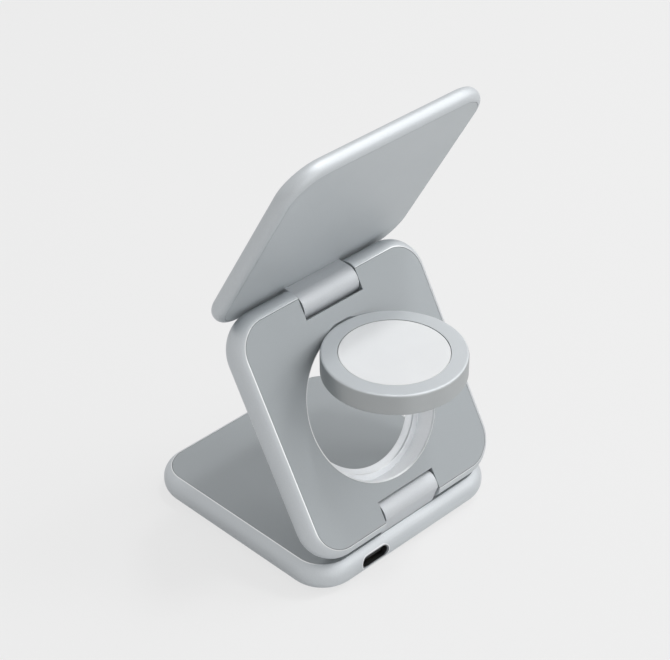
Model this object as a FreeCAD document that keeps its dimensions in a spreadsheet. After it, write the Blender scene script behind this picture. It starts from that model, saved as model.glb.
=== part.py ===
"""Fold-flat charging stand: a base, a middle leaf, a phone leaf, and a watch puck stored in the middle leaf.

Millimetres, +Z up. The origin is the middle of the base's underside, +X runs along the hinge pins and +Y
points to the rear, where the lower hinge and the cable socket are. Each leaf is drawn flat in a frame of its
own, as it lies when the stand is folded, and its Placement then opens it to the pose of use.
"""
import FreeCAD
import Part
import Sketcher
import math
import os

doc = FreeCAD.newDocument("charging_stand")
X_AXIS = FreeCAD.Vector(1, 0, 0)

# Driving dimensions, in mm, with angles in degrees
dims = doc.addObject("Spreadsheet::Sheet", "Dims")
DRIVING = {
    # the base and the middle leaf share one outline and one rounded edge
    "leaf_width": 66, "leaf_thickness": 8.4, "corner_radius": 10.4, "edge_round": 4,
    "panel_inset": 2.3, "panel_sink": 0.4, "panel_thickness": 1, "panel_gap": 0.1,
    # how far the folded leaves stand apart, and how far they are open
    "lower_gap": 0.65, "upper_gap": 0.6, "middle_tilt": 60, "top_tilt": 60,
    # hinges between the leaves
    "hinge_inset": 4.5, "top_hinge_inset": 3.1, "knuckle_radius": 4.1, "knuckle_length": 19.2,
    "notch_width": 19.9, "notch_reach": 4.4, "panel_notch_reach": 3.7, "notch_web": 1.3,
    "neck_front": 3.4, "heel": 2.1, "lower_toe": 2.1, "upper_toe": 1, "crease_lower": 5, "crease_upper": -32,
    "root_depth": 1.2, "root_half": 0.9, "root_gap": 0.05,
    "pin_radius": 1.5, "pin_embed": 7, "running_clearance": 0.05,
    # underside and inside of the base
    "foot_inset": 6, "foot_thickness": 0.8, "foot_proud": 0.3, "floor_level": 1.5,
    "cavity_width": 54, "cavity_length": 50, "cavity_radius": 6, "cavity_shift": -3,
    "base_board_width": 46, "base_board_length": 34, "board_thickness": 0.8, "board_lap": 4.3,
    "board_play": 0.5, "boss_radius": 2.2, "boss_inset": 3,
    "base_coil_radius": 20, "base_coil_hole": 9, "coil_thickness": 0.8, "ferrite_thickness": 0.5,
    "ferrite_margin": 1,
    # cable socket in the rear edge of the base
    "port_offset": 13.7, "port_level": 4.6, "port_opening_width": 8.94, "port_opening_height": 3.26,
    "port_wall": 0.3, "port_depth": 6.2, "port_setback": 0.5,
    "tongue_width": 6.7, "tongue_thickness": 0.7, "tongue_length": 4.6,
    "alcove_width": 12, "alcove_height": 5.15, "alcove_wall": 2,
    # round well of the middle leaf and its lining ring
    "well_radius": 20.5, "well_wall": 1.4, "well_shift": 1.3, "ledge_width": 1.9, "exit_taper": 1.3,
    "lip_width": 0.45, "lip_bevel": 0.3, "lip_gap": 0.05,
    "ledge_level": -2.4, "ledge_bevel": 0.3,
    # watch puck
    "puck_margin": 2, "puck_overhang": 1.5, "puck_thickness": 6, "puck_level": 0.9, "puck_edge_round": 0.6,
    "puck_wall": 1.2, "puck_knuckle_radius": 1.7, "puck_knuckle_length": 9, "arm_top": 1.2, "arm_lap": 1.6,
    "puck_notch_width": 9.8, "puck_notch_reach": 2, "puck_notch_length": 4, "relief_gap": 0.25,
    "puck_pin_radius": 0.8, "puck_pin_embed": 5,
    "cap_radius": 14, "cap_thickness": 1.2, "cap_dish": 0.35, "cap_gap": 0.1, "cap_sink": 0.05,
    "cap_bevel": 0.15, "cap_shelf": 0.8, "puck_coil_radius": 11.5, "puck_coil_hole": 5.5,
    "puck_ferrite_margin": 0.5, "puck_magnet_radius": 4.5, "puck_magnet_thickness": 1.6,
    "puck_board_radius": 12.5,
    # phone leaf
    "top_length": 65.4, "top_thickness": 4.4, "top_edge_round": 2.1, "top_inset": 1.9,
    "top_panel_thickness": 0.8, "top_cavity_radius": 27.4, "top_cavity_shift": 1.7,
    "magnet_ring_radius": 25.1, "magnet_width": 3.8, "magnet_thickness": 1.1,
    "magnet_count": 16, "magnet_gap_angle": 3, "top_coil_radius": 21.5,
    "top_coil_hole": 11, "top_ferrite_margin": 0.5, "top_board_radius": 20,
}
for row, (alias, number) in enumerate(DRIVING.items(), start=1):
    dims.set(f"A{row}", alias)
    dims.set(f"B{row}", str(number))
    dims.setAlias(f"B{row}", alias)

# Places worked out from the driving dimensions
places = doc.addObject("Spreadsheet::Sheet", "Places")
WORKED_OUT = {
    "leaf_length": "2 * (Dims.well_shift + Dims.well_radius + Dims.well_wall + Dims.notch_web"
                   " + Dims.notch_reach + Dims.hinge_inset)",
    "hinge_reach": "leaf_length / 2 - Dims.hinge_inset",
    "base_top": "Dims.foot_proud + Dims.leaf_thickness",
    "hinge_height": "base_top + Dims.lower_gap + Dims.leaf_thickness / 2",
    "middle_y": "hinge_reach * (1 - cos(Dims.middle_tilt * 1deg))",
    "middle_z": "hinge_height + hinge_reach * sin(Dims.middle_tilt * 1deg)",
    "upper_y": "hinge_reach * (1 - 2 * cos(Dims.middle_tilt * 1deg))",
    "upper_z": "hinge_height + 2 * hinge_reach * sin(Dims.middle_tilt * 1deg)",
    "top_reach": "Dims.top_length / 2 - Dims.top_hinge_inset",
    "top_offset": "Dims.leaf_thickness / 2 + Dims.upper_gap + Dims.top_thickness / 2",
    "top_y": "upper_y + top_reach * cos(Dims.top_tilt * 1deg) - top_offset * sin(Dims.top_tilt * 1deg)",
    "top_z": "upper_z + top_reach * sin(Dims.top_tilt * 1deg) + top_offset * cos(Dims.top_tilt * 1deg)",
    "ledge_radius": "Dims.well_radius - Dims.ledge_width",
    "well_exit_radius": "ledge_radius - Dims.exit_taper",
    "puck_radius": "Dims.well_radius - Dims.puck_margin",
    "puck_reach": "puck_radius + Dims.puck_overhang",
    "pivot_v": "puck_reach - Dims.well_shift",
    "pivot_y": "middle_y - pivot_v * cos(Dims.middle_tilt * 1deg)"
               " + Dims.puck_level * sin(Dims.middle_tilt * 1deg)",
    "pivot_z": "middle_z + pivot_v * sin(Dims.middle_tilt * 1deg)"
               " + Dims.puck_level * cos(Dims.middle_tilt * 1deg)",
    "face_level": "Dims.leaf_thickness / 2 - Dims.panel_sink",
    "core_level": "face_level - Dims.panel_thickness",
    "base_face": "base_top - Dims.panel_sink",
    "base_core": "base_face - Dims.panel_thickness",
    "board_top": "Dims.port_level - Dims.port_opening_height / 2 - Dims.port_wall",
    "board_bottom": "board_top - Dims.board_thickness",
    "port_back": "leaf_length / 2 - Dims.port_setback - Dims.port_depth",
    "top_core": "Dims.top_thickness / 2 - Dims.top_panel_thickness",
    "puck_floor": "-Dims.puck_thickness / 2 + Dims.puck_wall",
    "cap_seat": "Dims.puck_thickness / 2 - Dims.cap_thickness",
    "open_puck_y": "puck_reach * cos(Dims.middle_tilt * 1deg) - pivot_v",
    "open_puck_z": "puck_reach * sin(Dims.middle_tilt * 1deg) + Dims.puck_level",
}
for row, (alias, formula) in enumerate(WORKED_OUT.items(), start=1):
    places.set(f"A{row}", alias)
    places.setAlias(f"B{row}", alias)
    places.set(f"B{row}", "=" + formula)
doc.recompute()


def size(expression):
    """The present value of an expression over the two sheets, in mm."""
    found = dims.evalExpression(str(expression))
    return float(getattr(found, "Value", found))


def bind(thing, prop, expression):
    """Tie one property to the sheets."""
    thing.setExpression(prop, str(expression))


# Where each group of pieces sits: its y, its z and its turn about X, or nothing for the base
GROUPS = {
    "base": None,
    "middle": ("Places.middle_y", "Places.middle_z", "-Dims.middle_tilt"),
    "top": ("Places.top_y", "Places.top_z", "Dims.top_tilt"),
    "puck": ("Places.pivot_y + Places.puck_reach", "Places.pivot_z", None),
}


def new_body(label, group):
    """A named piece, drawn in the frame of its group."""
    body = doc.addObject("PartDesign::Body", label)
    body.Label = label
    if GROUPS[group]:
        shift_y, shift_z, turn = GROUPS[group]
        if turn:
            body.Placement = FreeCAD.Placement(FreeCAD.Vector(), FreeCAD.Rotation(X_AXIS, size(turn)))
            bind(body, "Placement.Rotation.Angle", turn)
        bind(body, "Placement.Base.y", shift_y)
        bind(body, "Placement.Base.z", shift_z)
    return body


def new_sketch(body, plane="XY_Plane", lift="0"):
    """A sketch on one of the body's own planes, lifted along that plane's normal."""
    sketch = body.newObject("Sketcher::SketchObject", body.Label + "_sketch")
    origin_plane = [feature for feature in body.Origin.OriginFeatures if feature.Role == plane][0]
    sketch.AttachmentSupport = [(origin_plane, "")]
    sketch.MapMode = "FlatFace"
    bind(sketch, "AttachmentOffset.Base.z", lift)
    return sketch


def dimension(sketch, kind, first, second, expression):
    """One dimension of a sketch, tied to the sheets. A point on an axis is held there instead."""
    value = size(expression)
    if kind in ("DistanceX", "DistanceY") and abs(value) < 1e-9:
        axis = -2 if kind == "DistanceX" else -1
        sketch.addConstraint(Sketcher.Constraint("PointOnObject", *second, axis))
        return
    if kind == "Radius":
        index = sketch.addConstraint(Sketcher.Constraint(kind, first, value))
    else:
        index = sketch.addConstraint(Sketcher.Constraint(kind, *first, *second, value))
    bind(sketch, f"Constraints[{index}]", expression)


def place_point(sketch, geometry, point, across, up):
    """Hold one point of a sketch at a place measured from the sketch's origin."""
    dimension(sketch, "DistanceX", (-1, 1), (geometry, point), across)
    dimension(sketch, "DistanceY", (-1, 1), (geometry, point), up)


def draw_circle(sketch, radius, across="0", up="0"):
    """A full circle."""
    centre = FreeCAD.Vector(size(across), size(up), 0)
    index = sketch.addGeometry(Part.Circle(centre, FreeCAD.Vector(0, 0, 1), size(radius)))
    place_point(sketch, index, 3, across, up)
    dimension(sketch, "Radius", index, None, radius)
    return index


def draw_polygon(sketch, corners, closed=True):
    """Straight lines through the given corners, and back to the first one where the outline is closed."""
    spots = [FreeCAD.Vector(size(across), size(up), 0) for across, up in corners]
    first = sketch.GeometryCount
    lines = len(corners) if closed else len(corners) - 1
    for step in range(lines):
        sketch.addGeometry(Part.LineSegment(spots[step], spots[(step + 1) % len(spots)]))
    for step in range(lines):
        if closed or step + 1 < lines:
            following = first + (step + 1) % lines
            sketch.addConstraint(Sketcher.Constraint("Coincident", first + step, 2, following, 1))
        place_point(sketch, first + step, 1, *corners[step])
    if not closed:
        place_point(sketch, first + lines - 1, 2, *corners[-1])
    return first


def draw_box(sketch, low_x, high_x, low_y, high_y):
    """An upright rectangle."""
    draw_polygon(sketch, [(low_x, low_y), (high_x, low_y), (high_x, high_y), (low_x, high_y)])


def draw_rounded(sketch, width, length, radius, across="0", up="0"):
    """A rectangle with four round corners, centred at a given place."""
    half_w, half_l, bend = size(width) / 2, size(length) / 2, size(radius)
    mid_x, mid_y = size(across), size(up)
    right, left, rear, front = mid_x + half_w, mid_x - half_w, mid_y + half_l, mid_y - half_l
    spot = FreeCAD.Vector
    up_axis = spot(0, 0, 1)
    quarter = math.pi / 2
    sides = [
        Part.LineSegment(spot(left + bend, front, 0), spot(right - bend, front, 0)),
        Part.LineSegment(spot(right, front + bend, 0), spot(right, rear - bend, 0)),
        Part.LineSegment(spot(right - bend, rear, 0), spot(left + bend, rear, 0)),
        Part.LineSegment(spot(left, rear - bend, 0), spot(left, front + bend, 0)),
    ]
    centres = [
        (right - bend, front + bend), (right - bend, rear - bend),
        (left + bend, rear - bend), (left + bend, front + bend),
    ]
    first = sketch.GeometryCount
    for turn, (side, (cx, cy)) in enumerate(zip(sides, centres)):
        sketch.addGeometry(side)
        circle = Part.Circle(spot(cx, cy, 0), up_axis, bend)
        sketch.addGeometry(Part.ArcOfCircle(circle, (turn - 1) * quarter, turn * quarter))
    for turn in range(4):
        line = first + 2 * turn
        following = first + (2 * turn + 2) % 8
        sketch.addConstraint(Sketcher.Constraint("Tangent", line, 2, line + 1, 1))
        sketch.addConstraint(Sketcher.Constraint("Tangent", line + 1, 2, following, 1))
        sketch.addConstraint(Sketcher.Constraint("Horizontal" if turn % 2 == 0 else "Vertical", line))
    for turn in range(1, 4):
        sketch.addConstraint(Sketcher.Constraint("Equal", first + 1, first + 1 + 2 * turn))
    dimension(sketch, "Radius", first + 1, None, radius)
    inset_x, inset_y = f"(({width}) / 2 - ({radius}))", f"(({length}) / 2 - ({radius}))"
    place_point(sketch, first + 1, 3, f"({across}) + {inset_x}", f"({up}) - {inset_y}")
    place_point(sketch, first + 5, 3, f"({across}) - {inset_x}", f"({up}) + {inset_y}")


def add_feature(body, kind, sketch, depth, both_ways=False, backwards=False):
    """A pad or pocket from a sketch. A pocket has to take something away and a pad has to add something."""
    doc.recompute()
    before = 0 if body.Shape.isNull() else body.Shape.Volume
    feature = body.newObject("PartDesign::" + kind, body.Label + "_" + kind.lower())
    feature.Profile = sketch
    bind(feature, "Length", depth)
    if both_ways:
        feature.Midplane = True
    feature.Reversed = backwards
    doc.recompute()
    change = body.Shape.Volume - before
    if (kind == "Pocket" and change > -1e-6) or (kind == "Pad" and change < 1e-6):
        raise ValueError(f"{feature.Label} changes nothing")
    return feature


def turn_profile(body, kind, sketch, axis="V_Axis"):
    """A full revolution or groove about an axis of its own sketch."""
    feature = body.newObject("PartDesign::" + kind, body.Label + "_" + kind.lower())
    feature.Profile = sketch
    feature.ReferenceAxis = (sketch, [axis])
    feature.Angle = 360
    doc.recompute()
    return feature


def round_edges(body, radius, wanted):
    """Fillet the edges of the body's tip that a test picks out."""
    doc.recompute()
    tip = body.Tip
    names = [f"Edge{number}" for number, edge in enumerate(tip.Shape.Edges, start=1) if wanted(edge)]
    fillet = body.newObject("PartDesign::Fillet", body.Label + "_fillet")
    fillet.Base = (tip, names)
    bind(fillet, "Radius", radius)
    doc.recompute()
    return fillet


def lies_flat(edge, level=None):
    """True for an edge that keeps one height, at a given level where one is asked for."""
    box = edge.BoundBox
    return box.ZLength < 1e-6 and (level is None or abs(box.ZMin - level) < 1e-6)


def leaf_block(label, group, width, length, thickness, edge_round, bottom):
    """The common blank of all three leaves: a rounded square with a round edge all the way about."""
    body = new_body(label, group)
    outline = new_sketch(body, lift=bottom)
    draw_rounded(outline, width, length, "Dims.corner_radius")
    add_feature(body, "Pad", outline, thickness)
    round_edges(body, edge_round, lies_flat)
    return body


def cut_panel_seat(body, top, depth, inset, length, upwards=False):
    """The shallow recess in a leaf's face that its panel lies in."""
    seat = new_sketch(body, lift=top)
    draw_rounded(seat, f"Dims.leaf_width - 2 * {inset}", f"{length} - 2 * {inset}",
                 f"Dims.corner_radius - {inset}")
    add_feature(body, "Pocket", seat, depth, backwards=upwards)


def make_panel(label, group, level, thickness, inset, length):
    """A flat panel a hair smaller than its recess."""
    body = new_body(label, group)
    outline = new_sketch(body, lift=level)
    shrink = f"2 * ({inset} + Dims.panel_gap)"
    draw_rounded(outline, f"Dims.leaf_width - {shrink}", f"{length} - {shrink}",
                 f"Dims.corner_radius - {inset} - Dims.panel_gap")
    add_feature(body, "Pad", outline, thickness)
    return body


def cut_box(body, low_x, high_x, low_y, high_y, top, depth):
    """A straight-sided pocket downwards from a given level."""
    sketch = new_sketch(body, lift=top)
    draw_box(sketch, low_x, high_x, low_y, high_y)
    add_feature(body, "Pocket", sketch, depth)


def cut_bore(body, radius, along_y, along_z, length):
    """A round hole along X through the middle of the body, centred on its YZ plane."""
    sketch = new_sketch(body, "YZ_Plane")
    draw_circle(sketch, radius, along_y, along_z)
    add_feature(body, "Pocket", sketch, length, both_ways=True)


def make_disc(label, group, radius, level, thickness, hole=None, shift="0"):
    """A flat round piece, with a round hole where one is given."""
    body = new_body(label, group)
    sketch = new_sketch(body, lift=level)
    draw_circle(sketch, radius, "0", shift)
    if hole:
        draw_circle(sketch, hole, "0", shift)
    add_feature(body, "Pad", sketch, thickness)
    return body


def make_pin(label, group, radius, length, along_y, along_z):
    """A straight steel pin along X."""
    body = new_body(label, group)
    sketch = new_sketch(body, "YZ_Plane")
    draw_circle(sketch, radius, along_y, along_z)
    add_feature(body, "Pad", sketch, length, both_ways=True)
    return body


def make_knuckle(label, group, hinge_y, hinge_z, crease, toe, face, away):
    """A hinge knuckle: a barrel round the pin on a neck whose root is let into its leaf.

    away is 1 where the leaf lies below the barrel and -1 where it lies above. The rear of the barrel runs out
    into a flat heel, from the crease on the barrel to the leaf's face, and the toe is the neck's front foot.
    """
    body = new_body(label, group)
    barrel = new_sketch(body, "YZ_Plane")
    draw_circle(barrel, "Dims.knuckle_radius", hinge_y, hinge_z)
    add_feature(body, "Pad", barrel, "Dims.knuckle_length", both_ways=True)
    crease_y = f"{hinge_y} + Dims.knuckle_radius * cos({crease} * 1deg)"
    crease_z = f"{hinge_z} + {away} * Dims.knuckle_radius * sin({crease} * 1deg)"
    root_level = f"{face} - {away} * Dims.root_depth"
    neck = new_sketch(body, "YZ_Plane")
    draw_polygon(neck, [
        (f"{hinge_y} - Dims.neck_front", hinge_z),
        (f"{hinge_y} - {toe}", face),
        (f"{hinge_y} - Dims.root_half", face),
        (f"{hinge_y} - Dims.root_half", root_level),
        (f"{hinge_y} + Dims.root_half", root_level),
        (f"{hinge_y} + Dims.root_half", face),
        (f"{hinge_y} + Dims.heel", face),
        (crease_y, crease_z),
        (hinge_y, f"{hinge_z} + {away} * Dims.knuckle_radius / 2"),
    ])
    add_feature(body, "Pad", neck, "Dims.knuckle_length", both_ways=True)
    cut_bore(body, "Dims.pin_radius + Dims.running_clearance", hinge_y, hinge_z, "Dims.knuckle_length")
    return body


def cut_root_seat(piece, hinge_y, top, depth):
    """The slot in a leaf's face that a knuckle's root is let into."""
    side = "(Dims.knuckle_length / 2 + Dims.root_gap)"
    reach = "(Dims.root_half + Dims.root_gap)"
    cut_box(piece, f"-{side}", side, f"{hinge_y} - {reach}", f"{hinge_y} + {reach}", top, depth)


# the ends of an oval are round to a hair less than half its height, so that its short sides keep a length
OVAL_END = 0.499


def stadium(sketch, width, height, across, up):
    """The flat-sided oval of the cable socket."""
    draw_rounded(sketch, width, height, f"({height}) * {OVAL_END}", across, up)


# Base: a shallow tub with a round edge, closed by the panel that carries the earbuds
base_frame = leaf_block("base_frame", "base", "Dims.leaf_width", "Places.leaf_length", "Dims.leaf_thickness",
                        "Dims.edge_round", "Dims.foot_proud")
cut_panel_seat(base_frame, "Places.base_top", "Dims.panel_sink + Dims.panel_thickness", "Dims.panel_inset",
               "Places.leaf_length")
tub = new_sketch(base_frame, lift="Places.base_core")
draw_rounded(tub, "Dims.cavity_width", "Dims.cavity_length", "Dims.cavity_radius", "0", "Dims.cavity_shift")
add_feature(base_frame, "Pocket", tub, "Places.base_core - Dims.floor_level")
# an alcove in the rear wall holds the cable socket and the board's end under it
cut_box(base_frame, "Dims.port_offset - Dims.alcove_width / 2", "Dims.port_offset + Dims.alcove_width / 2",
        "Dims.cavity_shift", "Places.leaf_length / 2 - Dims.alcove_wall",
        "Dims.floor_level + Dims.alcove_height", "Dims.alcove_height")
foot_seat = new_sketch(base_frame, lift="Dims.foot_proud")
draw_rounded(foot_seat, "Dims.leaf_width - 2 * Dims.foot_inset", "Places.leaf_length - 2 * Dims.foot_inset",
             "Dims.corner_radius - Dims.foot_inset / 2")
add_feature(base_frame, "Pocket", foot_seat, "Dims.foot_thickness - Dims.foot_proud", backwards=True)
# the mouth of the socket
mouth = new_sketch(base_frame, "XZ_Plane", "-Places.leaf_length / 2")
stadium(mouth, "Dims.port_opening_width + 2 * Dims.port_wall", "Dims.port_opening_height + 2 * Dims.port_wall",
        "Dims.port_offset", "Dims.port_level")
add_feature(base_frame, "Pocket", mouth, "Places.leaf_length / 2 - Places.port_back", backwards=True)

base_panel = make_panel("base_panel", "base", "Places.base_core", "Dims.panel_thickness", "Dims.panel_inset",
                        "Places.leaf_length")
lower_knuckle = make_knuckle("lower_knuckle", "base", "Places.hinge_reach", "Places.hinge_height",
                             "Dims.crease_lower", "Dims.lower_toe", "Places.base_face", 1)
# the barrel's rear runs flat down into the heel, so what stands behind that plane is trimmed off
heel = new_sketch(lower_knuckle, "YZ_Plane")
lower_crease_y = "Places.hinge_reach + Dims.knuckle_radius * cos(Dims.crease_lower * 1deg)"
lower_crease_z = "Places.hinge_height + Dims.knuckle_radius * sin(Dims.crease_lower * 1deg)"
draw_polygon(heel, [
    ("Places.hinge_reach + Dims.heel", "Places.base_face"),
    ("Places.hinge_reach + Dims.heel + Dims.knuckle_radius", "Places.base_face"),
    (f"{lower_crease_y} + Dims.knuckle_radius", lower_crease_z),
    (lower_crease_y, lower_crease_z),
])
add_feature(lower_knuckle, "Pocket", heel, "Dims.knuckle_length", both_ways=True)

base_foot = new_body("base_foot", "base")
foot_outline = new_sketch(base_foot)
draw_rounded(foot_outline, "Dims.leaf_width - 2 * (Dims.foot_inset + Dims.panel_gap)",
             "Places.leaf_length - 2 * (Dims.foot_inset + Dims.panel_gap)",
             "Dims.corner_radius - Dims.foot_inset / 2 - Dims.panel_gap")
add_feature(base_foot, "Pad", foot_outline, "Dims.foot_thickness")

# Cable socket: a folded oval shell with a closed back, and the tongue in its middle
port_shell = new_body("usb_c_shell", "base")
shell_outline = new_sketch(port_shell, "XZ_Plane", "-Places.leaf_length / 2 + Dims.port_setback")
stadium(shell_outline, "Dims.port_opening_width + 2 * Dims.port_wall",
        "Dims.port_opening_height + 2 * Dims.port_wall", "Dims.port_offset", "Dims.port_level")
add_feature(port_shell, "Pad", shell_outline, "Dims.port_depth")
shell_inside = new_sketch(port_shell, "XZ_Plane", "-Places.leaf_length / 2 + Dims.port_setback")
stadium(shell_inside, "Dims.port_opening_width", "Dims.port_opening_height", "Dims.port_offset",
        "Dims.port_level")
add_feature(port_shell, "Pocket", shell_inside, "Dims.port_depth - 2 * Dims.port_wall", backwards=True)

tongue = new_body("usb_c_tongue", "base")
tongue_outline = new_sketch(tongue, "XZ_Plane", "-Places.port_back - 2 * Dims.port_wall")
draw_box(tongue_outline, "Dims.port_offset - Dims.tongue_width / 2", "Dims.port_offset + Dims.tongue_width / 2",
         "Dims.port_level - Dims.tongue_thickness / 2", "Dims.port_level + Dims.tongue_thickness / 2")
add_feature(tongue, "Pad", tongue_outline, "Dims.tongue_length", backwards=True)

base_board = new_body("base_circuit_board", "base")
board_outline = new_sketch(base_board, lift="Places.board_bottom")
board_rear = "Dims.cavity_shift + Dims.base_board_length / 2"
board_front = "Dims.cavity_shift - Dims.base_board_length / 2"
board_side = "Dims.base_board_width / 2"
tab_side = "(Dims.alcove_width / 2 - Dims.board_play)"
tab_end = "Places.port_back + Dims.board_lap"
draw_polygon(board_outline, [
    (f"-{board_side}", board_front),
    (board_side, board_front),
    (board_side, board_rear),
    (f"Dims.port_offset + {tab_side}", board_rear),
    (f"Dims.port_offset + {tab_side}", tab_end),
    (f"Dims.port_offset - {tab_side}", tab_end),
    (f"Dims.port_offset - {tab_side}", board_rear),
    (f"-{board_side}", board_rear),
])
add_feature(base_board, "Pad", board_outline, "Dims.board_thickness")
# low bosses on the tub's floor carry the board
bosses = new_sketch(base_frame, lift="Dims.floor_level")
for side_x in ("-1", "1"):
    for side_y in ("-1", "1"):
        draw_circle(bosses, "Dims.boss_radius", f"{side_x} * ({board_side} - Dims.boss_inset)",
                    f"Dims.cavity_shift + {side_y} * (Dims.base_board_length / 2 - Dims.boss_inset)")
add_feature(base_frame, "Pad", bosses, "Places.board_bottom - Dims.floor_level")

make_disc("base_charging_coil", "base", "Dims.base_coil_radius", "Places.base_core - Dims.coil_thickness",
          "Dims.coil_thickness", "Dims.base_coil_hole", "Dims.cavity_shift")
make_disc("base_ferrite_sheet", "base", "Dims.base_coil_radius + Dims.ferrite_margin",
          "Places.base_core - Dims.coil_thickness - Dims.ferrite_thickness", "Dims.ferrite_thickness", None,
          "Dims.cavity_shift")

# the lower knuckle's root is let into the base and its panel
for piece in (base_frame, base_panel):
    cut_root_seat(piece, "Places.hinge_reach", "Places.base_top", "Dims.panel_sink + Dims.root_depth")

# Middle leaf: a solid core between two panels, with the round well that stores the watch puck
middle_frame = leaf_block("middle_frame", "middle", "Dims.leaf_width", "Places.leaf_length",
                          "Dims.leaf_thickness", "Dims.edge_round", "-Dims.leaf_thickness / 2")
SEAT_DEPTH = "Dims.panel_sink + Dims.panel_thickness"
cut_panel_seat(middle_frame, "Dims.leaf_thickness / 2", SEAT_DEPTH, "Dims.panel_inset", "Places.leaf_length")
cut_panel_seat(middle_frame, "-Dims.leaf_thickness / 2", SEAT_DEPTH, "Dims.panel_inset", "Places.leaf_length",
               upwards=True)
rear_panel = make_panel("middle_rear_panel", "middle", "Places.core_level", "Dims.panel_thickness",
                        "Dims.panel_inset", "Places.leaf_length")
front_panel = make_panel("middle_front_panel", "middle", "-Places.face_level", "Dims.panel_thickness",
                         "Dims.panel_inset", "Places.leaf_length")
# the frame is bored for the well's ring, and each panel for the ring's lip on its own side
BORES = (
    (middle_frame, "Dims.well_radius + Dims.well_wall", "Dims.notch_reach"),
    (rear_panel, "Dims.well_radius + Dims.lip_width + Dims.lip_gap", "Dims.panel_notch_reach"),
    (front_panel, "Places.ledge_radius + Dims.lip_width + Dims.lip_gap", "Dims.panel_notch_reach"),
)
for piece, bore_radius, reach in BORES:
    bore = new_sketch(piece, lift="Dims.leaf_thickness / 2")
    draw_circle(bore, bore_radius, "0", "Dims.well_shift")
    add_feature(piece, "Pocket", bore, "Dims.leaf_thickness")
    # both hinges work in notches in the ends of the leaf
    half_notch = "Dims.notch_width / 2"
    inner_end = f"Places.hinge_reach - {reach}"
    outer_end = "Places.leaf_length / 2 + Dims.hinge_inset"
    for low_y, high_y in ((inner_end, outer_end), (f"-({outer_end})", f"-({inner_end})")):
        cut_box(piece, f"-{half_notch}", half_notch, low_y, high_y, "Dims.leaf_thickness / 2",
                "Dims.leaf_thickness")

# the lining ring has a ledge that the stored puck lies over, and narrows to the other face; its two lips
# stand in the panels, and their bevels are the bright lines round the well
well_ring = new_body("well_ring", "middle")
ring_profile = new_sketch(well_ring, "YZ_Plane")
RING_STEPS = (
    ("Dims.well_radius + Dims.well_wall", "-Places.core_level"),
    ("Dims.well_radius + Dims.well_wall", "Places.core_level"),
    ("Dims.well_radius + Dims.lip_width", "Places.core_level"),
    ("Dims.well_radius + Dims.lip_width", "Places.face_level"),
    ("Dims.well_radius + Dims.lip_bevel", "Places.face_level"),
    ("Dims.well_radius", "Places.face_level - Dims.lip_bevel"),
    ("Dims.well_radius", "Dims.ledge_level"),
    ("Places.ledge_radius + Dims.ledge_bevel", "Dims.ledge_level"),
    ("Places.ledge_radius", "Dims.ledge_level - Dims.ledge_bevel"),
    ("Places.well_exit_radius", "-Places.face_level"),
    ("Places.ledge_radius + Dims.lip_width", "-Places.face_level"),
    ("Places.ledge_radius + Dims.lip_width", "-Places.core_level"),
)
draw_polygon(ring_profile, [(f"Dims.well_shift + {radius}", level) for radius, level in RING_STEPS])
half_line = "Dims.well_radius / 2"
turning_line = ring_profile.addGeometry(Part.LineSegment(
    FreeCAD.Vector(size("Dims.well_shift"), -size(half_line), 0),
    FreeCAD.Vector(size("Dims.well_shift"), size(half_line), 0)), True)
ring_profile.addConstraint(Sketcher.Constraint("Vertical", turning_line))
place_point(ring_profile, turning_line, 1, "Dims.well_shift", f"-{half_line}")
dimension(ring_profile, "DistanceY", (-1, 1), (turning_line, 2), half_line)
turn_profile(well_ring, "Revolution", ring_profile, "Axis0")

# the puck's knuckle works in a slot in the upper wall of the well, under the rear panel
puck_hinge_y = "(Dims.well_shift - Places.puck_reach)"
notch_floor = "Dims.puck_level - Dims.puck_notch_reach"
for piece in (middle_frame, well_ring):
    cut_box(piece, "-Dims.puck_notch_width / 2", "Dims.puck_notch_width / 2",
            f"{puck_hinge_y} - Dims.puck_notch_reach", f"{puck_hinge_y} + Dims.puck_notch_length",
            "Places.face_level", f"Places.face_level - ({notch_floor})")
# the opened puck's rim has a round relief in the edge of the well, cut square to the puck
for piece in (rear_panel, well_ring):
    relief = new_sketch(piece, lift="Places.open_puck_z")
    tilted = FreeCAD.Rotation(X_AXIS, size("Dims.middle_tilt"))
    relief.AttachmentOffset = FreeCAD.Placement(relief.AttachmentOffset.Base, tilted)
    bind(relief, "AttachmentOffset.Base.y", "Places.open_puck_y")
    bind(relief, "AttachmentOffset.Rotation.Angle", "Dims.middle_tilt")
    draw_circle(relief, "Places.puck_radius + Dims.relief_gap")
    add_feature(piece, "Pocket", relief, "Dims.puck_thickness / 2 + Dims.relief_gap", backwards=True)

# pins: two long ones in the ends of the leaf and a thin one for the puck
PIN_LENGTH = "Dims.notch_width + 2 * Dims.pin_embed"
PUCK_PIN_LENGTH = "Dims.puck_notch_width + 2 * Dims.puck_pin_embed"
for end in ("", "-"):
    cut_bore(middle_frame, "Dims.pin_radius", f"{end}Places.hinge_reach", "0", PIN_LENGTH)
for piece in (middle_frame, well_ring):
    cut_bore(piece, "Dims.puck_pin_radius", puck_hinge_y, "Dims.puck_level", PUCK_PIN_LENGTH)
make_pin("lower_hinge_pin", "middle", "Dims.pin_radius", PIN_LENGTH, "Places.hinge_reach", "0")
make_pin("upper_hinge_pin", "middle", "Dims.pin_radius", PIN_LENGTH, "-Places.hinge_reach", "0")
make_pin("puck_pin", "middle", "Dims.puck_pin_radius", PUCK_PIN_LENGTH, puck_hinge_y, "Dims.puck_level")

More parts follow.
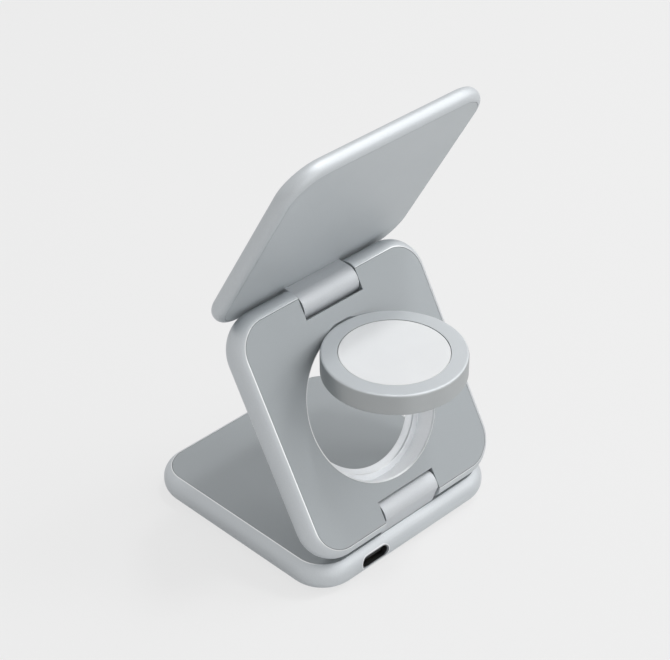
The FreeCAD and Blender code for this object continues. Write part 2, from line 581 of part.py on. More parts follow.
# Watch puck: an open-topped cup with a knuckle on its inner edge
puck_shell = new_body("puck_shell", "puck")
cup = new_sketch(puck_shell, lift="-Dims.puck_thickness / 2")
draw_circle(cup, "Places.puck_radius")
add_feature(puck_shell, "Pad", cup, "Dims.puck_thickness")
round_edges(puck_shell, "Dims.puck_edge_round", lies_flat)
arm = new_sketch(puck_shell, "YZ_Plane")
draw_box(arm, "-Places.puck_reach", "-Places.puck_radius + Dims.arm_lap", "-Dims.puck_knuckle_radius",
         "Dims.arm_top")
add_feature(puck_shell, "Pad", arm, "Dims.puck_knuckle_length", both_ways=True)
eye = new_sketch(puck_shell, "YZ_Plane")
draw_circle(eye, "Dims.puck_knuckle_radius", "-Places.puck_reach", "0")
add_feature(puck_shell, "Pad", eye, "Dims.puck_knuckle_length", both_ways=True)
cut_bore(puck_shell, "Dims.puck_pin_radius + Dims.running_clearance", "-Places.puck_reach", "0",
         "Dims.puck_knuckle_length")
cap_recess = new_sketch(puck_shell, lift="Dims.puck_thickness / 2")
draw_circle(cap_recess, "Dims.cap_radius + Dims.cap_gap")
add_feature(puck_shell, "Pocket", cap_recess, "Dims.cap_thickness")
puck_room = new_sketch(puck_shell, lift="Places.cap_seat")
draw_circle(puck_room, "Dims.cap_radius - Dims.cap_shelf")
add_feature(puck_shell, "Pocket", puck_room, "Places.cap_seat - Places.puck_floor")

# the cap is a shallow dish, ground hollow to suit the back of a watch
puck_cap = new_body("puck_cap", "puck")
cap_profile = new_sketch(puck_cap, "YZ_Plane")
cap_rim = "(Dims.puck_thickness / 2 - Dims.cap_sink)"
dish_half = "(Dims.cap_radius - Dims.cap_bevel)"
cap_edge = draw_polygon(cap_profile, [
    ("0", f"{cap_rim} - Dims.cap_dish"),
    ("0", "Places.cap_seat"),
    ("Dims.cap_radius", "Places.cap_seat"),
    ("Dims.cap_radius", f"{cap_rim} - Dims.cap_bevel"),
    (dish_half, cap_rim),
], closed=False)
dish_radius = size(f"({dish_half} * {dish_half} + Dims.cap_dish * Dims.cap_dish) / (2 * Dims.cap_dish)")
dish_centre = FreeCAD.Vector(0, size(f"{cap_rim} - Dims.cap_dish") + dish_radius, 0)
dish_circle = Part.Circle(dish_centre, FreeCAD.Vector(0, 0, 1), dish_radius)
straight_down = -math.pi / 2
dish = cap_profile.addGeometry(
    Part.ArcOfCircle(dish_circle, straight_down, straight_down + math.asin(size(dish_half) / dish_radius)))
cap_profile.addConstraint(Sketcher.Constraint("Coincident", dish, 1, cap_edge, 1))
cap_profile.addConstraint(Sketcher.Constraint("Coincident", dish, 2, dish - 1, 2))
cap_profile.addConstraint(Sketcher.Constraint("PointOnObject", dish, 3, -2))
turn_profile(puck_cap, "Revolution", cap_profile)

make_disc("puck_charging_coil", "puck", "Dims.puck_coil_radius", "Places.cap_seat - Dims.coil_thickness",
          "Dims.coil_thickness", "Dims.puck_coil_hole")
make_disc("puck_ferrite_sheet", "puck", "Dims.puck_coil_radius + Dims.puck_ferrite_margin",
          "Places.cap_seat - Dims.coil_thickness - Dims.ferrite_thickness", "Dims.ferrite_thickness",
          "Dims.puck_coil_hole")
make_disc("puck_magnet", "puck", "Dims.puck_magnet_radius", "Places.cap_seat - Dims.puck_magnet_thickness",
          "Dims.puck_magnet_thickness")
make_disc("puck_circuit_board", "puck", "Dims.puck_board_radius", "Places.puck_floor", "Dims.board_thickness")

# Phone leaf: a thin ring frame between a back panel and the pad that the phone clings to
top_frame = leaf_block("top_frame", "top", "Dims.leaf_width", "Dims.top_length", "Dims.top_thickness",
                       "Dims.top_edge_round", "-Dims.top_thickness / 2")
TOP_SEAT = "Dims.top_panel_thickness"
cut_panel_seat(top_frame, "Dims.top_thickness / 2", TOP_SEAT, "Dims.top_inset", "Dims.top_length")
cut_panel_seat(top_frame, "-Dims.top_thickness / 2", TOP_SEAT, "Dims.top_inset", "Dims.top_length",
               upwards=True)
top_room = new_sketch(top_frame, lift="Dims.top_thickness / 2")
draw_circle(top_room, "Dims.top_cavity_radius", "0", "Dims.top_cavity_shift")
add_feature(top_frame, "Pocket", top_room, "Dims.top_thickness")
make_panel("phone_pad", "top", "Places.top_core", TOP_SEAT, "Dims.top_inset", "Dims.top_length")
top_back = make_panel("top_back_panel", "top", "-Dims.top_thickness / 2", TOP_SEAT, "Dims.top_inset",
                      "Dims.top_length")
make_knuckle("upper_knuckle", "top", "(-Places.top_reach)", "(-Places.top_offset)", "Dims.crease_upper",
             "Dims.upper_toe", "(-Dims.top_thickness / 2)", -1)
for piece in (top_frame, top_back):
    cut_root_seat(piece, "-Places.top_reach", "-Dims.top_thickness / 2 + Dims.root_depth", "Dims.root_depth")

# a ring of short magnets lines the phone up over the coil
magnets = new_body("phone_magnet_ring", "top")
segment = new_sketch(magnets, lift="Places.top_core - Dims.magnet_thickness")
bind(segment, "AttachmentOffset.Base.y", "Dims.top_cavity_shift")
inner_arc = "(Dims.magnet_ring_radius - Dims.magnet_width / 2)"
outer_arc = "(Dims.magnet_ring_radius + Dims.magnet_width / 2)"
half_turn = "(180 / Dims.magnet_count - Dims.magnet_gap_angle / 2) * 1deg"
draw_polygon(segment, [
    (f"{inner_arc} * cos({half_turn})", f"-{inner_arc} * sin({half_turn})"),
    (f"{outer_arc} * cos({half_turn})", f"-{outer_arc} * sin({half_turn})"),
    (f"{outer_arc} * cos({half_turn})", f"{outer_arc} * sin({half_turn})"),
    (f"{inner_arc} * cos({half_turn})", f"{inner_arc} * sin({half_turn})"),
])
first_magnet = add_feature(magnets, "Pad", segment, "Dims.magnet_thickness")
ring_pattern = magnets.newObject("PartDesign::PolarPattern", "phone_magnet_pattern")
ring_pattern.Originals = [first_magnet]
ring_pattern.Axis = (segment, ["N_Axis"])
ring_pattern.Angle = 360
bind(ring_pattern, "Occurrences", "Dims.magnet_count")
magnets.Tip = ring_pattern
make_disc("phone_charging_coil", "top", "Dims.top_coil_radius", "Places.top_core - Dims.coil_thickness",
          "Dims.coil_thickness", "Dims.top_coil_hole", "Dims.top_cavity_shift")
make_disc("phone_ferrite_sheet", "top", "Dims.top_coil_radius + Dims.top_ferrite_margin",
          "Places.top_core - Dims.coil_thickness - Dims.ferrite_thickness", "Dims.ferrite_thickness", None,
          "Dims.top_cavity_shift")
make_disc("phone_circuit_board", "top", "Dims.top_board_radius", "-Places.top_core", "Dims.board_thickness",
          None, "Dims.top_cavity_shift")

# Check everything, then write one file per piece
doc.recompute()
for thing in doc.Objects:
    if "Invalid" in thing.State or "Error" in thing.State:
        raise ValueError(f"{thing.Label} failed: {thing.State}")
bodies = [thing for thing in doc.Objects if thing.TypeId == "PartDesign::Body"]
os.makedirs("parts", exist_ok=True)
for body in bodies:
    if body.Shape.isNull() or not body.Shape.isValid():
        raise ValueError(f"{body.Label} has no valid shape")
for body in bodies:
    body.Shape.exportStep(f"parts/{body.Label}.step")
    box = body.Shape.BoundBox
    ends = [getattr(box, axis + end) for axis in "XYZ" for end in ("Min", "Max")]
    spans = " ".join(f"{value:7.2f}" for value in ends)
    print(f"{body.Label:22s} solids {len(body.Shape.Solids):2d}  volume {body.Shape.Volume:9.1f}  {spans}")
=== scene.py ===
# %% [markdown]
# # A folding charger in bead blasted aluminium
# The object is a travel charger for three small devices. Three rounded leaves of
# aluminium are joined by two hinges, and a round puck turns out of a well in the
# middle leaf. Its shapes come ready made as a frame of solid nodes, so this lesson
# is about finishes, light and the few pieces that are too fine for the solids.

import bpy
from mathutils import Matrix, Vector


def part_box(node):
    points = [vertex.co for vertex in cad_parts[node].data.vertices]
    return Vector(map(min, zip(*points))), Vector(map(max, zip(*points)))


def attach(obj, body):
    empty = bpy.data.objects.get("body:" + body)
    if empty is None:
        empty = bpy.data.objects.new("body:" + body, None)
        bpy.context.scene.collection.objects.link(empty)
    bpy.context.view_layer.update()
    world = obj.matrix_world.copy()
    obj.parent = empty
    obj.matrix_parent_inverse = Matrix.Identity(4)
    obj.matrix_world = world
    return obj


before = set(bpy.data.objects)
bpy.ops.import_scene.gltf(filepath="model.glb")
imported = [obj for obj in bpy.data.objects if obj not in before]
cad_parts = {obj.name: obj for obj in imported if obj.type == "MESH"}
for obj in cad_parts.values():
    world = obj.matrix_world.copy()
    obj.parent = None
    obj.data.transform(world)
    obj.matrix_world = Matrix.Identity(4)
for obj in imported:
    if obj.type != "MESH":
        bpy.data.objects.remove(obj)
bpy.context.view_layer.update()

# %% Modules and the scene to fill
import math

import bmesh
import bpy
from mathutils import Matrix, Vector

scene = bpy.context.scene
MM = 0.001

# %% [markdown]
# ## The view
# A product picture is taken with a long lens from well above, so that the leaves
# keep their shapes. The camera is placed by its bearing, its height and its
# distance, the way a photographer would note them down, and then turned by the
# third of a degree by which the picture leans.

# %% Camera
IMAGE_WIDTH = 670
FOCAL_PIXELS = 2057.824
SENSOR_WIDTH = 36
BEARING = math.radians(135.414)
HEIGHT_ANGLE = math.radians(34.66)
LEAN = math.radians(-0.343)
# where the camera aims and how far it stands back, in mm
AIM_HEIGHT = 40
AIM_RIGHT = 3.471
AIM_UP = 9.948
DISTANCE = 532.921

back = Vector((
    math.sin(BEARING) * math.cos(HEIGHT_ANGLE),
    -math.cos(BEARING) * math.cos(HEIGHT_ANGLE),
    math.sin(HEIGHT_ANGLE),
))
level_right = Vector((math.cos(BEARING), math.sin(BEARING), 0))
level_up = back.cross(level_right)
right = math.cos(LEAN) * level_right + math.sin(LEAN) * level_up
up = math.cos(LEAN) * level_up - math.sin(LEAN) * level_right
aim = Vector((0, 0, AIM_HEIGHT)) + AIM_RIGHT * right + AIM_UP * up

camera_data = bpy.data.cameras.new("long_lens")
camera_data.sensor_width = SENSOR_WIDTH
camera_data.lens = FOCAL_PIXELS * SENSOR_WIDTH / IMAGE_WIDTH
camera = bpy.data.objects.new("camera", camera_data)
scene.collection.objects.link(camera)
place = Matrix((right, up, back)).transposed().to_4x4()
place.translation = (aim + DISTANCE * back) * MM
camera.matrix_world = place
scene.camera = camera
print("lens, mm:", round(camera_data.lens, 2), "camera at, m:", [round(v, 3) for v in place.translation])

# %% [markdown]
# ## Colours and nodes
# Colours are noted as sRGB hex, as a designer would pick them, and one function
# turns them to the linear values that a shader works in. One more function adds a
# node with its settings and its inputs, where an input is a value or a link.

# %% Helpers for colours and nodes
def linear(hex_colour):
    """An sRGB hex colour as linear red, green, blue and alpha."""
    parts = [int(hex_colour[i:i + 2], 16) / 255 for i in (1, 3, 5)]
    return [p / 12.92 if p <= 0.04045 else ((p + 0.055) / 1.055) ** 2.4 for p in parts] + [1]


def add_node(tree, kind, inputs=None, **settings):
    """Adds a node of a kind, with its settings and with a value or a link for its inputs."""
    added = tree.nodes.new(kind)
    for name, value in settings.items():
        setattr(added, name, value)
    for name, value in (inputs or {}).items():
        if isinstance(value, bpy.types.NodeSocket):
            tree.links.new(value, added.inputs[name])
        else:
            added.inputs[name].default_value = value
    return added


def start_material(name):
    """An empty node material, with its tree and a socket that holds the point in metres."""
    material = bpy.data.materials.new(name)
    material.use_nodes = True
    tree = material.node_tree
    tree.nodes.clear()
    return material, tree, add_node(tree, "ShaderNodeTexCoord").outputs["Object"]


def finish_material(material, surface):
    """Joins a shader to the output, and shows the material's name."""
    tree = material.node_tree
    add_node(tree, "ShaderNodeOutputMaterial", {"Surface": surface})
    print("material:", material.name, "with", len(tree.nodes), "nodes")
    return material


# %% [markdown]
# ## Patterns that all finishes share
# Every finish here is built from the same few things: a noise of a given size, its
# values spread over a range, a shallow relief, and a colour that darkens a little
# where the pattern says so. Sizes and depths are noted as so many MM, so that they can
# be compared with a real surface under a loupe.

# %% Helpers for patterns
# nearly all values of a noise lie between these
NOISE_LOW, NOISE_HIGH = 0.3, 0.7
# the numbers of a colour mix's sockets: three inputs and its output
MIX_SHARE, MIX_FIRST, MIX_SECOND, MIX_COLOUR = 0, 6, 7, 2


def noise(tree, point, size, detail=2.0):
    """A noise whose blotches are some size across."""
    return add_node(tree, "ShaderNodeTexNoise", {
        "Vector": point, "Scale": 1 / size, "Detail": detail}).outputs["Fac"]


def spread(tree, value, least, most, low=NOISE_LOW, high=NOISE_HIGH):
    """A value from between low and high, spread out from least to most."""
    return add_node(tree, "ShaderNodeMapRange", {
        "Value": value, "From Min": low, "From Max": high,
        "To Min": least, "To Max": most}).outputs["Result"]


def relief(tree, height, strength, depth, **normal):
    """The normal of a shallow relief, on the plain surface or on a Normal that is given."""
    return add_node(tree, "ShaderNodeBump", {
        "Height": height, "Strength": strength, "Distance": depth, **normal}).outputs["Normal"]


def darkened(tree, share, colour):
    """A colour that goes towards black as its share falls below one."""
    return add_node(tree, "ShaderNodeMix", {
        MIX_SHARE: share, MIX_FIRST: linear("#000000"), MIX_SECOND: linear(colour)},
        data_type="RGBA").outputs[MIX_COLOUR]


# %% [markdown]
# ## Bead blasted, anodised aluminium
# The leaves, hinge barrels and the puck's shell are milled aluminium. Blasting with
# fine glass beads turns the milled face into even, shallow pits, and anodising seals
# it with a clear oxide. The eye gets broad, soft reflections with no streaks, and a
# very faint sparkle. It could be made with a bump of real pits, but these are 0.05 mm
# wide, under half a pixel, so the roughness carries them and a coarser bump of
# 0.3 mm stands for them. Blasting by hand is never quite even, so the roughness
# drifts by a few hundredths over some 20 mm. The oxide is full of fine pores that
# scatter a fifth of the light, so the shader isn't metal all through. Every sharp edge
# is broken by 0.15 mm before blasting, and that narrow round catches a line of light.
# It is too small to be worth a bevel in the mesh, so the shader rounds the normals.

# %% Aluminium
EDGE_BREAK = 0.15 * MM
EDGE_SAMPLES = 6
OXIDE_METAL = 0.8
PIT_SIZE = 0.3 * MM
PIT_STRENGTH = 0.35
PIT_DEPTH = 0.0018 * MM
BLAST_DRIFT_SIZE = 20 * MM
BLAST_DRIFT = 0.025
PIT_SHADE = 0.96


def broken_edge(tree):
    """The normal of a surface whose sharp edges are broken, as a deburred or lacquered edge is."""
    return add_node(tree, "ShaderNodeBevel", {"Radius": EDGE_BREAK}, samples=EDGE_SAMPLES).outputs["Normal"]


def blasted_aluminium(name, colour, roughness):
    """Anodised aluminium, bead blasted, in one colour and one grade of bead."""
    material, tree, point = start_material(name)
    drift = noise(tree, point, BLAST_DRIFT_SIZE)
    pits = noise(tree, point, PIT_SIZE)
    shader = add_node(tree, "ShaderNodeBsdfPrincipled", {
        "Base Color": darkened(tree, spread(tree, pits, PIT_SHADE, 1.0), colour),
        "Metallic": OXIDE_METAL,
        "Roughness": spread(tree, drift, roughness - BLAST_DRIFT, roughness + BLAST_DRIFT),
        "Normal": relief(tree, pits, PIT_STRENGTH, PIT_DEPTH, Normal=broken_edge(tree))})
    return finish_material(material, shader.outputs["BSDF"])


ALUMINIUM_TOP = blasted_aluminium("aluminium_anodised_top", "#C9CDD0", roughness=0.56)
ALUMINIUM_BARREL = blasted_aluminium("aluminium_anodised_barrel", "#C8CBCE", roughness=0.62)

# %% [markdown]
# ## Silver lacquer with aluminium flakes
# The panels are moulded, since the coils behind them can't work through metal, and a
# silver lacquer brings them close to the frame's colour. Its aluminium flakes lie
# nearly flat in a clear binder: some of the light comes back like from a metal with a
# broad gleam, the rest like from a grey paint. So the shader is half metal, and the
# flakes of some 0.1 mm show as a faint grain. The phone leaf's back is one large face
# that is seen by itself. It has the same lacquer, but its colour is set a shade lighter
# than on the other panels as painted light, since that face looks down and away from
# the lamps.

# %% Flake lacquer
FLAKE_SIZE = 0.12 * MM
FLAKE_SHADE = 0.93
FLAKE_STRENGTH = 0.2
FLAKE_DEPTH = 0.002 * MM
FLAKE_METAL = 0.5
LACQUER_ROUGHNESS = 0.50
HAZE_SIZE = 15 * MM
HAZE_DRIFT = 0.02


def flake_lacquer(name, colour):
    """A sprayed lacquer with fine aluminium flakes in it."""
    material, tree, point = start_material(name)
    flakes = add_node(tree, "ShaderNodeTexVoronoi", {
        "Vector": point, "Scale": 1 / FLAKE_SIZE}).outputs["Distance"]
    haze = noise(tree, point, HAZE_SIZE, detail=1.0)
    shader = add_node(tree, "ShaderNodeBsdfPrincipled", {
        "Base Color": darkened(tree, spread(tree, flakes, 1.0, FLAKE_SHADE, 0.0, 1.0), colour),
        "Metallic": FLAKE_METAL,
        "Roughness": spread(tree, haze, LACQUER_ROUGHNESS - HAZE_DRIFT, LACQUER_ROUGHNESS + HAZE_DRIFT),
        "Normal": relief(tree, flakes, FLAKE_STRENGTH, FLAKE_DEPTH, Normal=broken_edge(tree))})
    return finish_material(material, shader.outputs["BSDF"])


LACQUER_PANEL = flake_lacquer("lacquer_silver_flake_panel", "#A6ABAE")
# the same lacquer, a shade lighter as painted light on the leaf's back, which looks down and away from the
# lamps
LACQUER_LEAF_PAINTED_LIGHTER = flake_lacquer("lacquer_silver_flake_leaf_painted_lighter", "#BBC0C3")

# %% [markdown]
# ## The puck's two finishes
# The puck is turned on a lathe and then blasted on its face only. Its side keeps the
# fine rings of the tool, 0.08 mm apart. The turned finish is real, but the side's
# colour is set darker than the blasted face as painted shade, for a side that looks
# away from the lamps above. The rings are too fine to be seen, but they stretch every
# reflection across them, so the side shows soft upright bands. One material holds
# both: where the surface looks up or down it is blasted, and where it looks sideways it
# is turned, darker, and with a gleam that is stretched at right angles to the rings.

# %% Turned and blasted aluminium
# how upright the normal is where the side ends and where the face begins
SIDE_UNTIL, FACE_FROM = 0.4, 0.8
FACE_METAL = 0.35
FACE_ROUGHNESS = 0.5
SIDE_ROUGHNESS = 0.46
SIDE_STRETCH = 0.8
# a quarter turn from the rings' direction
ACROSS_RINGS = 0.25
RING_SIZE = 0.08 * MM
RING_STRENGTH = 0.3
RING_DEPTH = 0.003 * MM
RING_LENGTHEN = (0.02, 0.02, 1)


def turned_and_blasted(name, face_colour, painted_shade_side_colour):
    """Aluminium that is blasted on its flat faces and turned on its round side."""
    material, tree, point = start_material(name)
    normal = add_node(tree, "ShaderNodeTexCoord").outputs["Normal"]
    parts = add_node(tree, "ShaderNodeSeparateXYZ", {"Vector": normal})
    upright = add_node(tree, "ShaderNodeMath", {0: parts.outputs["Z"]}, operation="ABSOLUTE").outputs[0]
    is_face = spread(tree, upright, 0.0, 1.0, SIDE_UNTIL, FACE_FROM)
    pits = noise(tree, point, PIT_SIZE)
    face = add_node(tree, "ShaderNodeBsdfPrincipled", {
        "Base Color": linear(face_colour), "Metallic": FACE_METAL, "Roughness": FACE_ROUGHNESS,
        "Normal": relief(tree, pits, PIT_STRENGTH, PIT_DEPTH, Normal=broken_edge(tree))})
    squeezed = add_node(tree, "ShaderNodeMapping", {"Vector": point, "Scale": RING_LENGTHEN})
    rings = noise(tree, squeezed.outputs["Vector"], RING_SIZE, detail=1.0)
    around = add_node(tree, "ShaderNodeTangent", direction_type="RADIAL", axis="Z")
    # the turned side's darker colour is painted shade
    side = add_node(tree, "ShaderNodeBsdfPrincipled", {
        "Base Color": linear(painted_shade_side_colour), "Metallic": 1.0, "Roughness": SIDE_ROUGHNESS,
        "Anisotropic": SIDE_STRETCH, "Anisotropic Rotation": ACROSS_RINGS,
        "Tangent": around.outputs["Tangent"],
        "Normal": relief(tree, rings, RING_STRENGTH, RING_DEPTH, Normal=broken_edge(tree))})
    both = add_node(tree, "ShaderNodeMixShader", {
        0: is_face, 1: side.outputs["BSDF"], 2: face.outputs["BSDF"]})
    return finish_material(material, both.outputs[0])


# the side colour, darker than the face, is painted shade for the side that looks away from the lamps above
TURNED_PUCK = turned_and_blasted("aluminium_turned_and_blasted", face_colour="#CDD1D4", painted_shade_side_colour="#ADB0B1")

# %% [markdown]
# ## Painted highlights along the edges
# Some edges catch the light as a bright line of a quarter to half a millimetre, which
# draws the outline of each part: the mouth of the cable socket, the edge of the frame
# round a panel, the lip of the well and its ledge. The solids have plain sharp edges
# there, so these lines are painted highlights, and the material finds each line by
# itself: each outline is a rounded rectangle, whose distance is one short sum, and the
# metal turns lighter and glossier just outside it. A circle is the same sum with the
# corner's radius as large as the half width.

# %% Places and sizes of the painted highlight lines
SIDEWAYS = Vector((1, 0, 0))
REARWARDS = Vector((0, 1, 0))
UPWARDS = Vector((0, 0, 1))
HINGE_REACH = 28.9 * MM
PANEL_HALVES = (30.7 * MM, 31.1 * MM)
PANEL_CORNER = 8.1 * MM
LEAF_MIDDLE = Vector((0, 14.45, 38.578)) * MM
LEAF_SLOPE = math.radians(60)
LEAF_UPWARDS = Vector((0, -math.cos(LEAF_SLOPE), math.sin(LEAF_SLOPE)))
WELL_RADIUS = 20.5 * MM
LEDGE_RADIUS = 18.6 * MM
WELL_BELOW = 1.3 * MM
MOUTH_MIDDLE = Vector((13.7, 0, 4.6)) * MM
MOUTH_HALVES = (4.77 * MM, 1.93 * MM)
MOUTH_LINE = 0.32 * MM
PANEL_LINE = 0.25 * MM
LIP_LINE = 0.5 * MM
LEDGE_LINE = 0.35 * MM
LINE_START = 0.02 * MM
LINE_FADE = 0.2
LINE_ROUGHNESS = 0.3
print("middle leaf slopes by, degrees:", round(math.degrees(LEAF_SLOPE)))

# %% Painted highlight lines on blasted aluminium
def sums(tree, operation, first, second=0.0):
    """The result of one sum on values or links."""
    return add_node(tree, "ShaderNodeMath", {0: first, 1: second}, operation=operation).outputs[0]


def along(tree, vector, direction):
    """How far a vector reaches in a direction."""
    shadow = add_node(tree, "ShaderNodeVectorMath", {0: vector, 1: direction}, operation="DOT_PRODUCT")
    return shadow.outputs["Value"]


def rounded_distance(tree, point, centre, directions, halves, corner):
    """How far a point lies outside a rounded rectangle, seen square to its plane."""
    offset = add_node(tree, "ShaderNodeVectorMath", {0: point, 1: centre}, operation="SUBTRACT").outputs[0]
    squares = []
    for direction, half in zip(directions, halves):
        aside = sums(tree, "ABSOLUTE", along(tree, offset, direction))
        past = sums(tree, "MAXIMUM", sums(tree, "SUBTRACT", aside, half - corner), 0.0)
        squares.append(sums(tree, "MULTIPLY", past, past))
    return sums(tree, "SUBTRACT", sums(tree, "SQRT", sums(tree, "ADD", *squares)), corner)


def painted_highlight_line(material, width, centre, directions, halves, corner, limits=()):
    """Adds a painted highlight, a lighter and glossier band just outside an outline, where the point lies
    past each limit in its direction.
    """
    tree = material.node_tree
    output = next(n for n in tree.nodes if n.type == "OUTPUT_MATERIAL")
    blasted = output.inputs["Surface"].links[0].from_socket
    point = next(n for n in tree.nodes if n.type == "TEX_COORD").outputs["Object"]
    beyond = rounded_distance(tree, point, centre, directions, halves, corner)
    near = spread(tree, beyond, 0.0, 1.0, width * (1 + LINE_FADE), width * (1 - LINE_FADE))
    highlight_mask = sums(tree, "MULTIPLY", near, sums(tree, "GREATER_THAN", beyond, LINE_START))
    for direction, least in limits:
        highlight_mask = sums(tree, "MULTIPLY", highlight_mask, sums(tree, "GREATER_THAN", along(tree, point, direction), least))
    # painted highlight: a lighter colour than the blasted metal, with less roughness
    highlight_shader = add_node(tree, "ShaderNodeBsdfPrincipled", {
        "Base Color": linear("#E2E4E5"), "Metallic": 1.0, "Roughness": LINE_ROUGHNESS})
    seen = add_node(tree, "ShaderNodeMixShader", {0: highlight_mask, 1: blasted, 2: highlight_shader.outputs["BSDF"]})
    tree.links.new(seen.outputs[0], output.inputs["Surface"])
    print("material:", material.name, "now with", len(tree.nodes), "nodes")


ALUMINIUM_BASE = blasted_aluminium("aluminium_anodised_base", "#C9CDD0", roughness=0.56)
# painted highlight lines round the socket's mouth and round the base's panel
painted_highlight_line(ALUMINIUM_BASE, MOUTH_LINE, MOUTH_MIDDLE, (SIDEWAYS, UPWARDS),
         MOUTH_HALVES, MOUTH_HALVES[1], [(REARWARDS, 0)])
painted_highlight_line(ALUMINIUM_BASE, PANEL_LINE, Vector((0, 0, 0)), (SIDEWAYS, REARWARDS),
         PANEL_HALVES, PANEL_CORNER, [(UPWARDS, MOUTH_MIDDLE.z), (-REARWARDS, -HINGE_REACH)])
ALUMINIUM_MIDDLE = blasted_aluminium("aluminium_anodised_middle", "#C9CDD0", roughness=0.56)
# a painted highlight line round the middle leaf's panel
painted_highlight_line(ALUMINIUM_MIDDLE, PANEL_LINE, LEAF_MIDDLE, (SIDEWAYS, LEAF_UPWARDS), PANEL_HALVES, PANEL_CORNER)
# The well ring is the same anodised aluminium as the frames; its much lighter colour is painted light for the
# brightly lit walls of the well.
ALUMINIUM_WELL_PAINTED_LIGHTER = blasted_aluminium("aluminium_anodised_well_painted_lighter", "#E6E8EA", roughness=0.62)
# painted highlight lines on the well's lip and on its ledge
for radius, width in ((WELL_RADIUS, LIP_LINE), (LEDGE_RADIUS, LEDGE_LINE)):
    painted_highlight_line(ALUMINIUM_WELL_PAINTED_LIGHTER, width, LEAF_MIDDLE - WELL_BELOW * LEAF_UPWARDS,
             (SIDEWAYS, LEAF_UPWARDS), (radius, radius), radius)

# %% [markdown]
# ## Plastics and rubber
# The puck's cap is white polycarbonate, moulded against a finely etched steel mould:
# a soft sheen with hardly any texture. The phone's pad and the foot are silicone
# rubber, which is cast and has a dry, dusty surface. The tongue in the socket is a
# black crystal polymer, filled with glass and almost matt.

# %% Moulded and cast materials
ETCHING_STRENGTH = 0.4
MOTTLE_SIZE = 12 * MM


def moulded(name, colour, roughness, ior, texture_mm, depth_mm, mottle=0.03):
    """A plastic or rubber with an even, etched texture and a slight mottle in its colour."""
    material, tree, point = start_material(name)
    etching = noise(tree, point, texture_mm * MM, detail=3.0)
    clouds = noise(tree, point, MOTTLE_SIZE)
    shader = add_node(tree, "ShaderNodeBsdfPrincipled", {
        "Base Color": darkened(tree, spread(tree, clouds, 1 - mottle, 1.0), colour),
        "Roughness": roughness, "IOR": ior,
        "Normal": relief(tree, etching, ETCHING_STRENGTH, depth_mm * MM)})
    return finish_material(material, shader.outputs["BSDF"])


WHITE_CAP = moulded("polycarbonate_white_etched", "#EDEEEF",
                    roughness=0.42, ior=1.585, texture_mm=0.25, depth_mm=0.001)
SOFT_PAD = moulded("silicone_pale_grey_cast", "#C9CCCE",
                   roughness=0.72, ior=1.41, texture_mm=0.35, depth_mm=0.004)
RUBBER_FOOT = moulded("silicone_dark_grey_cast", "#3C3F42",
                      roughness=0.80, ior=1.41, texture_mm=0.5, depth_mm=0.008)
BLACK_TONGUE = moulded("crystal_polymer_black_moulded", "#101112",
                       roughness=0.55, ior=1.5, texture_mm=0.2, depth_mm=0.001)

# %% [markdown]
# ## Metals inside the socket and the leaves
# The socket's shell is stainless steel, deep drawn, with fine lines along the draw. Its
# colour is set darker than bare steel as painted shade for the inside of the socket.
# Pins are ground steel. The contacts on the tongue are plated with gold. The magnets
# are plated with nickel, and the coils are litz wire, whose strands of 0.1 mm are
# drawn here as turns of 0.5 mm.

# %% Drawn, ground and plated metals
LINE_STRENGTH = 0.3
LINE_DRIFT = 0.04


def lined_metal(name, colour, roughness, line_mm, stretch, depth_mm=0.001):
    """A metal whose surface has fine lines along one direction of the object."""
    material, tree, point = start_material(name)
    squeezed = add_node(tree, "ShaderNodeMapping", {"Vector": point, "Scale": stretch})
    lines = noise(tree, squeezed.outputs["Vector"], line_mm * MM)
    shader = add_node(tree, "ShaderNodeBsdfPrincipled", {
        "Base Color": linear(colour), "Metallic": 1.0,
        "Roughness": spread(tree, lines, roughness - LINE_DRIFT, roughness + LINE_DRIFT),
        "Normal": relief(tree, lines, LINE_STRENGTH, depth_mm * MM)})
    return finish_material(material, shader.outputs["BSDF"])


# darker than bare steel: painted shade inside the socket
DRAWN_STEEL_PAINTED_SHADE = lined_metal("stainless_steel_deep_drawn_painted_shade", "#8F9193",
                          roughness=0.34, line_mm=0.12, stretch=(1, 0.1, 1))
GROUND_STEEL = lined_metal("stainless_steel_ground", "#B4B6B8",
                           roughness=0.25, line_mm=0.1, stretch=(0.1, 1, 1))
GOLD_PLATE = lined_metal("gold_plated_copper", "#D9B25A",
                         roughness=0.22, line_mm=0.1, stretch=(1, 0.2, 1))
NICKEL_PLATE = lined_metal("neodymium_nickel_plated", "#B9B6AE",
                           roughness=0.22, line_mm=0.3, stretch=(1, 1, 1))
COPPER_LITZ = lined_metal("copper_litz_wound", "#B5734A",
                          roughness=0.38, line_mm=0.5, stretch=(1, 1, 0.2), depth_mm=0.05)

# %% [markdown]
# ## Circuit boards and ferrite
# Boards are glass cloth in epoxy under a green lacquer, and the weave of the cloth
# shows through as fine ribs, 0.5 mm apart. The ferrite sheets behind the coils are
# pressed oxide, dark grey and dry. Both are closed in, but a finish costs little and
# holds when somebody opens the object.

# %% Boards and ferrite
CLOTH_SIZE = 0.5 * MM
CLOTH_STRENGTH = 0.3
CLOTH_DEPTH = 0.003 * MM
EPOXY_ROUGHNESS = 0.32
EPOXY_IOR = 1.55


def lacquered_board(name, colour):
    """Glass cloth in epoxy under a coloured lacquer."""
    material, tree, point = start_material(name)
    cloth = add_node(tree, "ShaderNodeTexWave", {
        "Vector": point, "Scale": 1 / CLOTH_SIZE / math.tau},
        wave_type="BANDS", bands_direction="X").outputs["Fac"]
    shader = add_node(tree, "ShaderNodeBsdfPrincipled", {
        "Base Color": linear(colour), "Roughness": EPOXY_ROUGHNESS, "IOR": EPOXY_IOR,
        "Normal": relief(tree, cloth, CLOTH_STRENGTH, CLOTH_DEPTH)})
    return finish_material(material, shader.outputs["BSDF"])


